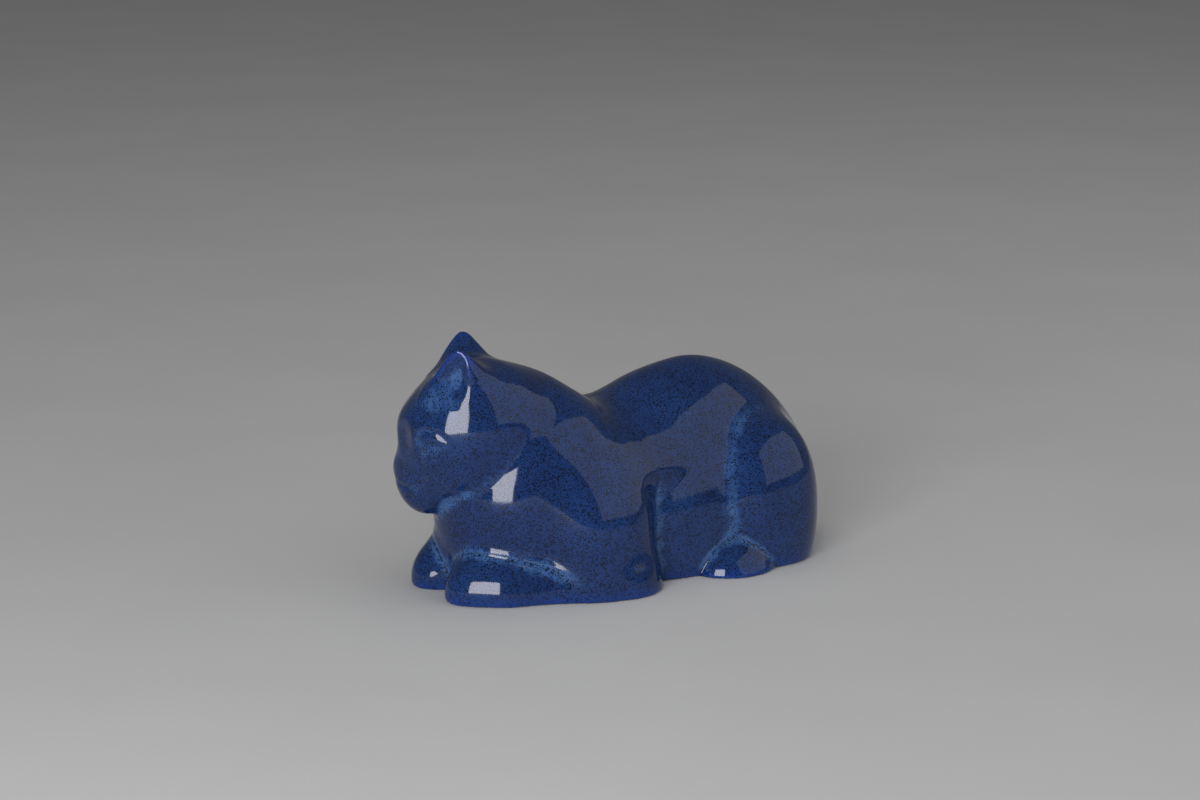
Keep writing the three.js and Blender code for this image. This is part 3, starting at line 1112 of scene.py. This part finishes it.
@dataclass(frozen=True)
class CobaltGlaze:
    """Glossy cobalt glaze: navy under dense dark specks, clear where thin, milky where pooled."""

    body: Point = (0.0072, 0.0275, 0.116)
    patch: Point = (0.0100, 0.0385, 0.150)
    thin: Point = (0.0056, 0.036, 0.215)
    pooled: Point = (0.048, 0.125, 0.320)
    speck: Point = (0.0010, 0.0030, 0.010)
    patch_scale: float = 38.0
    wisp_scale: float = 160.0
    speck_scale: float = 1500.0
    break_scale: float = 900.0
    milk_ends: tuple[float, float] = (0.12, 0.85)
    milk_wisps: float = 0.35
    milk_share: float = 0.75
    clear_ends: tuple[float, float] = (0.1, 0.9)
    clear_patches: float = 0.12
    foot_reach: float = 11.0
    foot_share: float = 0.55
    speck_amount: float = 0.62
    quiet_loss: float = 0.36
    quiet_milk: float = 0.7
    speck_share: float = 0.95
    crease_ends: tuple[float, float] = (0.55, 0.9)
    break_ends: tuple[float, float] = (0.47, 0.56)
    crease_share: float = 0.85
    clay: MattFinish = replace(BARE_CLAY, dot=(0.33, 0.27, 0.2))
    clay_height: float = 0.35
    clay_edge: float = 0.1
    clay_wisps: float = 0.2
    clay_roughness: float = 0.7
    roughness: float = 0.06
    speck_roughness: float = 0.015
    ior: float = 1.47
    swell_scale: float = 55.0
    rise: float = 0.00006
    pit: float = 0.000001

    def material(self, effects: Effects) -> bpy.types.Material:
        """Makes the glaze.

        Args:
            effects: The shared node groups.

        Returns:
            The material.
        """
        paint = Paint("cobalt_glaze", effects)
        thin, pooled, crease = (
            paint.add("ShaderNodeAttribute", attribute_name=mask.value).outputs["Fac"]
            for mask in GlazeMask
        )
        patches = paint.patches(self.patch_scale)
        wisps = paint.patches(self.wisp_scale)
        axes = paint.add("ShaderNodeSeparateXYZ")
        paint.feed(axes.inputs[0], paint.place)
        height = paint.math("DIVIDE", axes.outputs["Z"], MM)

        milky = paint.between(*self.milk_ends, paint.varied(pooled, wisps, self.milk_wisps, 0.5))
        foot = paint.times(paint.between(self.foot_reach, 0.0, height), self.foot_share)
        thinner = paint.math("MAXIMUM", thin, foot)
        clear = paint.varied(thinner, patches, self.clear_patches)
        clear = paint.between(*self.clear_ends, clear)
        colour = paint.mix(patches, self.body, self.patch)
        colour = paint.mix(clear, colour, self.thin)
        colour = paint.mix(paint.times(milky, self.milk_share), colour, self.pooled)

        quiet = paint.math("MAXIMUM", clear, paint.times(milky, self.quiet_milk))
        specks = paint.varied(self.speck_amount, quiet, -self.quiet_loss)
        specks = paint.dots(self.speck_scale, specks)
        colour = paint.mix(paint.times(specks, self.speck_share), colour, self.speck)

        fine = paint.noise(paint.place, self.break_scale, 2.0, 0.6)
        dark = paint.between(*self.crease_ends, crease)
        dark = paint.times(dark, paint.between(*self.break_ends, fine))
        colour = paint.mix(paint.times(dark, self.crease_share), colour, self.speck)

        edge = paint.varied(height, wisps, self.clay_wisps, 0.5)
        low, high = self.clay_height - self.clay_edge, self.clay_height + self.clay_edge
        bare = paint.between(high, low, edge)
        clay = self.clay.dotted(paint, self.clay.colour)
        rough = paint.varied(self.roughness, specks, self.speck_roughness)
        rough = paint.varied(rough, bare, self.clay_roughness)
        paint.dress(Base_Color=paint.mix(bare, colour, clay), Roughness=rough, IOR=self.ior)

        pits = paint.times(paint.math("ADD", specks, dark), -self.pit)
        paint.bump(paint.math("ADD", paint.swell(self.swell_scale, self.rise), pits))
        return paint.material


# The urn


@dataclass(frozen=True)
class Piece:
    """What a finished piece is in the frame."""

    node: str
    slot: str
    body: str = "root"

    def dress(self, obj: bpy.types.Object, *finishes: bpy.types.Material) -> None:
        """Gives the piece its materials and its place in the frame.

        Args:
            obj: The piece's object.
            *finishes: Its materials, in the order of its faces' indices.
        """
        for finish in finishes:
            obj.data.materials.append(finish)
        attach(obj, self.body)
        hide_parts(self.node)


@dataclass(frozen=True)
class CastShell(Piece):
    """The cast and glazed shell of the whole cat, with its hollow and its filling hole."""

    node: str = "urn_body"
    slot: str = "cobalt_glaze"
    form: CatForm = CatForm()
    cell: float = 1.46
    underside_height: float = 0.05
    hollow_depth: float = 1.0
    hole_place: tuple[float, float] = (10.0, 0.0)
    hole_reach: tuple[float, float] = (23.6, 15.0)
    plug_run: float = 2.0
    relax_rounds: int = 4
    settle_limit: float = 0.6
    fine_cuts: int = 1
    fine_head: tuple[float, float] = (-70.0, 42.0)
    fine_foot: float = -30.0
    fine_elbow: float = 0.9
    fine_reach: float = 2.5
    skin_depth: float = 0.3
    bend_reach: float = 3.0
    thin_bend: tuple[float, float] = (0.07, 0.32)
    thin_rounds: int = 10
    pooled_bend: tuple[float, float] = (0.015, 0.13)
    pooled_rounds: int = 6
    crease_reach: float = 1.7
    crease_end: float = 8.0
    crease_height: float = 9.0
    milk_reach: float = 3.2
    hollow_milk: float = 0.75
    haunch_milk: float = 0.7
    haunch_milk_start: float = 6.0
    leg_milk: float = 0.9
    leg_milk_heights: tuple[float, float] = (7.0, 15.0)

    def build(self, node: bpy.types.Object) -> bpy.types.Object:
        """Draws the shell on its form.

        Args:
            node: The CAD node that it stands for.

        Returns:
            The shell.
        """
        skin = merged_copy(node, "shell_glazed")
        lining = merged_copy(node, "shell_lining")
        self.keep_skin(skin)
        self.keep_lining(lining)
        apply_modifier(skin, "REMESH", mode="VOXEL", voxel_size=self.cell * MM, adaptivity=0.0)
        self.refine(skin)
        self.settle(skin)
        apply_modifier(skin, "BOOLEAN", operation="DIFFERENCE", solver="EXACT", object=lining)
        bpy.data.objects.remove(lining)
        self.store_glaze(skin)
        self.shade(skin)
        return skin

    def is_inside(self, mesh: bpy.types.Mesh) -> np.ndarray:
        """Tells which faces line the hollow and the filling hole.

        Args:
            mesh: A mesh of the shell.

        Returns:
            Whether each face does.
        """
        middles, normals = face_middles(mesh)
        underside = (middles[:, 2] < self.underside_height) & (normals[:, 2] < -FACING)
        from_hole = np.linalg.norm(middles[:, :2] - np.array(self.hole_place), axis=1)
        hole = (from_hole < self.hole_reach[0]) & (middles[:, 2] < self.hole_reach[1])
        turned_in = (normals * self.form.slope(middles)).sum(axis=1) < 0.0
        deep = self.form.distance(middles) < -self.hollow_depth
        return ~underside & (hole | (turned_in & deep))

    def cut_away(self, obj: bpy.types.Object, faces: np.ndarray) -> None:
        """Deletes faces and leaves the open rim selected, in edit mode.

        Args:
            obj: The merged copy.
            faces: Whether each face goes.
        """
        select_faces(obj, faces)
        bpy.ops.mesh.delete(type="FACE")
        bpy.ops.mesh.select_mode(type="EDGE")
        bpy.ops.mesh.select_all(action="DESELECT")
        bpy.ops.mesh.select_non_manifold()

    def keep_skin(self, obj: bpy.types.Object) -> None:
        """Leaves the outside alone, closed over the filling hole.

        Args:
            obj: The merged copy.
        """
        self.cut_away(obj, self.is_inside(obj.data))
        bpy.ops.mesh.edge_face_add()
        bpy.ops.object.mode_set(mode="OBJECT")

    def keep_lining(self, obj: bpy.types.Object) -> None:
        """Leaves the hollow and the filling hole as one closed plug that runs out below.

        Args:
            obj: The merged copy.
        """
        self.cut_away(obj, ~self.is_inside(obj.data))
        extrude_selected(-self.plug_run)
        bpy.ops.mesh.edge_face_add()
        bpy.ops.mesh.select_all(action="SELECT")
        bpy.ops.mesh.normals_make_consistent(inside=False)
        bpy.ops.object.mode_set(mode="OBJECT")

    def refine(self, obj: bpy.types.Object) -> None:
        """Divides the faces of the ears, the face and the folds further.

        Args:
            obj: The remeshed skin.
        """
        middles, _ = face_middles(obj.data)
        part = self.form.parts(middles)
        head = (middles[:, 0] < self.fine_head[0]) & (middles[:, 2] > self.fine_head[1])
        leg = (part.leg_gap() < self.fine_reach) & (part.elbow < self.fine_elbow)
        foot = (part.foot_gap() < self.fine_reach) & (middles[:, 1] < self.fine_foot)
        select_faces(obj, head | leg | foot)
        bpy.ops.mesh.subdivide(number_cuts=self.fine_cuts, smoothness=0.0)
        bpy.ops.object.mode_set(mode="OBJECT")

    def settle(self, obj: bpy.types.Object) -> None:
        """Evens the skin out and moves it onto the form.

        Args:
            obj: The skin.
        """
        mesh = obj.data
        points = self.form.settle(read_points(mesh), 3, 1.0)
        for _ in range(self.relax_rounds):
            points = self.form.settle(spread_out(mesh, points, 1), 1, self.settle_limit)
        write_points(mesh, self.form.settle(points, 2, self.settle_limit))

    def milk(self, part: CatParts, bend: np.ndarray) -> np.ndarray:
        """Gives how milky the glaze is, in the hollows and along the folds.

        Args:
            part: The distances at points on the shell.
            bend: How much the form bends there.

        Returns:
            Numbers from 0 to 1.
        """
        hollow = smooth_step(*self.pooled_bend, -bend)
        haunch = near(part.trunk - part.thigh, self.milk_reach) * (1.0 - part.back)
        haunch = self.haunch_milk * haunch * smooth_step(0.0, self.haunch_milk_start, part.foot)
        leg = near(part.leg_gap(), self.milk_reach) * (1.0 - part.elbow)
        leg = self.leg_milk * leg * smooth_step(*self.leg_milk_heights, part.points[:, 2])
        face = self.form.head.milk(part.points)
        return np.max([self.hollow_milk * hollow, haunch, leg, face], axis=0)

    def store_glaze(self, obj: bpy.types.Object) -> None:
        """Stores where the glaze is thin, over ridges and edges, and where it pooled, in hollows.

        Args:
            obj: The shell.
        """
        mesh = obj.data
        points = read_points(mesh)
        on_skin = np.abs(self.form.distance(points)) < self.skin_depth
        bend = self.form.bend(points, self.bend_reach)
        part = self.form.parts(points)
        past_end = part.elbow + (points[:, 2] < self.crease_height)
        gap = np.minimum(part.leg_gap() + self.crease_end * past_end, part.foot_gap())
        masks = {
            GlazeMask.THIN: (smooth_step(*self.thin_bend, bend), self.thin_rounds),
            GlazeMask.POOLED: (self.milk(part, bend), self.pooled_rounds),
            GlazeMask.CREASE: (near(gap, self.crease_reach), 0),
        }
        for mask, (values, rounds) in masks.items():
            spread = spread_out(mesh, np.where(on_skin, values, 0.0), rounds)
            attribute = mesh.attributes.new(mask.value, "FLOAT", "POINT")
            attribute.data.foreach_set("value", spread.astype(np.float32))
            high = np.quantile(spread[on_skin], 0.95)
            LOG.info("%s: mean %.3f, 95%% %.3f", mask.value, spread[on_skin].mean(), high)

    def shade(self, obj: bpy.types.Object) -> None:
        """Gives the outside the form's own normals and the lining its second finish.

        Args:
            obj: The shell.
        """
        mesh = obj.data
        inside = self.is_inside(mesh)
        mesh.polygons.foreach_set("material_index", inside.astype(np.int32))
        mesh.polygons.foreach_set("use_smooth", np.ones(len(mesh.polygons), dtype=bool))
        corner = np.empty(len(mesh.loops), dtype=np.int64)
        mesh.loops.foreach_get("vertex_index", corner)
        totals = np.empty(len(mesh.polygons), dtype=np.int64)
        mesh.polygons.foreach_get("loop_total", totals)
        normals = self.form.normal(read_points(mesh))[corner]
        normals[np.repeat(inside, totals)] = 0.0
        mesh.normals_split_custom_set(normals.tolist())


@dataclass(frozen=True)
class Stopper(Piece):
    """The rubber bung: a plug under a flange, with a dished underside and a round boss in its
    middle.
    """

    node: str = "base_stopper"
    slot: str = "stopper_rubber"
    sides: int = 96
    taper: float = 0.8
    plug_radius: float = 18.7
    flange_depth: float = 2.3
    rim: float = 3.2
    dish: float = 1.3
    boss: float = 9.0
    boss_rise: float = 1.04
    boss_rim: float = 2.25
    boss_dish: float = 0.52
    edge: float = 0.45
    smooth_angle: float = math.radians(35.0)

    def build(self, low: Sequence[float], high: Sequence[float]) -> bpy.types.Object:
        """Moulds the bung.

        Args:
            low: The lowest corner of the CAD node, in metres.
            high: Its highest corner.

        Returns:
            The bung.
        """
        middle = (Vector(low) + Vector(high)) / 2.0
        radius = (high[0] - low[0]) / 2.0 / MM
        bottom, top = low[2] / MM, high[2] / MM
        bpy.ops.object.select_all(action="DESELECT")
        bpy.ops.mesh.primitive_cylinder_add(
            vertices=self.sides,
            radius=radius * MM,
            depth=self.flange_depth * MM,
            location=(middle.x, middle.y, (bottom + self.flange_depth / 2.0) * MM),
        )
        obj = bpy.context.object
        obj.name = obj.data.name = "stopper_moulded"
        bpy.ops.object.transform_apply(location=True, rotation=True, scale=True)
        plug = (radius - self.plug_radius, top - bottom - self.flange_depth)
        self.step_in(obj, 1.0, [plug], (self.plug_radius - self.taper) / self.plug_radius)
        underside = [
            (self.rim, self.dish),
            (radius - self.rim - self.boss, -self.boss_rise),
            (self.boss_rim, self.boss_dish),
        ]
        self.step_in(obj, -1.0, underside, 1.0)
        apply_modifier(obj, "BEVEL", width=self.edge * MM, segments=3, limit_method="ANGLE")
        select_only(obj)
        bpy.ops.object.shade_smooth_by_angle(angle=self.smooth_angle)
        return obj

    def step_in(
        self,
        obj: bpy.types.Object,
        facing: float,
        steps: Sequence[tuple[float, float]],
        share: float,
    ) -> None:
        """Insets the upper or the lower face and moves it, step by step.

        Args:
            obj: The bung.
            facing: 1 for the upper face, -1 for the lower one.
            steps: How far in each inset goes, and how far its face then rises.
            share: What is left of the last face's width.
        """
        _, normals = face_middles(obj.data)
        select_faces(obj, facing * normals[:, 2] > FACING)
        for inset, rise in steps:
            bpy.ops.mesh.inset(thickness=inset * MM)
            extrude_selected(rise)
        bpy.ops.transform.resize(value=(share, share, 1.0))
        bpy.ops.object.mode_set(mode="OBJECT")


# The studio


def towards(azimuth: float, elevation: float) -> Vector:
    """Gives the direction from the urn to an azimuth and an elevation in degrees."""
    turn, rise = math.radians(azimuth), math.radians(elevation)
    flat = math.cos(rise)
    return Vector((math.sin(turn) * flat, -math.cos(turn) * flat, math.sin(rise)))


@dataclass(frozen=True)
class SoftBox:
    """A rectangular studio light that faces the urn."""

    name: str
    azimuth: float
    elevation: float
    distance: float
    width: float
    height: float
    power: float
    seen: bool = True

    def build(self, target: Vector) -> None:
        """Sets the light up.

        Args:
            target: The point that it faces.
        """
        away = towards(self.azimuth, self.elevation)
        light = bpy.data.lights.new(self.name, "AREA")
        light.shape = "RECTANGLE"
        light.size, light.size_y = self.width, self.height
        light.energy = self.power
        obj = bpy.data.objects.new(self.name, light)
        obj.location = target + away * self.distance
        obj.rotation_euler = away.to_track_quat("Z", "Y").to_euler()
        obj.visible_glossy = self.seen
        bpy.context.scene.collection.objects.link(obj)


@dataclass(frozen=True)
class Studio:
    """The floor, the lights and the camera."""

    target: Point = (0.00139, 0.01921, 0.08393)
    azimuth: float = -33.0
    elevation: float = 13.0
    distance: float = 1.494
    lens: float = 85.0
    floor_size: float = 14.0
    surround: float = 0.15
    lit_point: Point = (0.0, 0.0, 0.06)
    boxes: tuple[SoftBox, ...] = (
        SoftBox("key_box", -50.0, 12.0, 1.5, 0.75, 0.75, 15.9),
        SoftBox("side_panel", 40.0, 26.0, 2.2, 2.95, 1.75, 9.4),
        SoftBox("top_fill", 0.0, 88.0, 2.2, 2.4, 2.4, 9.0, seen=False),
    )

    def build(self, floor: bpy.types.Material) -> None:
        """Sets the studio up.

        Args:
            floor: The floor's material.
        """
        bpy.ops.object.select_all(action="DESELECT")
        bpy.ops.mesh.primitive_plane_add(size=self.floor_size, location=(0.0, 0.0, 0.0))
        plane = bpy.context.object
        plane.name = plane.data.name = "floor"
        plane.data.materials.append(floor)
        for box in self.boxes:
            box.build(Vector(self.lit_point))
        world = bpy.data.worlds.new("studio")
        world.use_nodes = True
        background = world.node_tree.nodes["Background"]
        background.inputs["Color"].default_value = (1.0, 1.0, 1.0, 1.0)
        background.inputs["Strength"].default_value = self.surround
        bpy.context.scene.world = world
        bpy.context.scene.view_settings.view_transform = "Standard"
        self.aim_camera()

    def aim_camera(self) -> None:
        """Places the camera and makes it the scene's own."""
        back = towards(self.azimuth, self.elevation)
        right = towards(self.azimuth + 90.0, 0.0)
        axes = Matrix((right, back.cross(right), back)).transposed().to_4x4()
        data = bpy.data.cameras.new("camera")
        data.lens = self.lens
        camera = bpy.data.objects.new("camera", data)
        place = Vector(self.target) + back * self.distance
        camera.matrix_world = Matrix.Translation(place) @ axes
        bpy.context.scene.collection.objects.link(camera)
        bpy.context.scene.camera = camera


def report(obj: bpy.types.Object) -> None:
    """Logs a piece's size and its faces.

    Args:
        obj: The piece.
    """
    faces = sum(len(polygon.vertices) - 2 for polygon in obj.data.polygons)
    size = ", ".join(f"{value / MM:.1f}" for value in obj.dimensions)
    LOG.info("%s: %s mm, %d triangles", obj.name, size, faces)


def main() -> None:
    """Builds the urn's pieces and the studio."""
    logging.basicConfig(level=logging.INFO, format="%(name)s: %(message)s")
    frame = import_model()
    effects = Effects()

    shell = CastShell()
    piece = shell.build(frame["nodes"][shell.node])
    shell.dress(piece, CobaltGlaze().material(effects), BARE_CLAY.material(effects))
    report(piece)

    stopper = Stopper()
    piece = stopper.build(*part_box(stopper.node))
    stopper.dress(piece, MOULDED_RUBBER.material(effects))
    report(piece)

    Studio().build(PALE_FLOOR.material(effects))


if __name__ == "__main__":
    main()
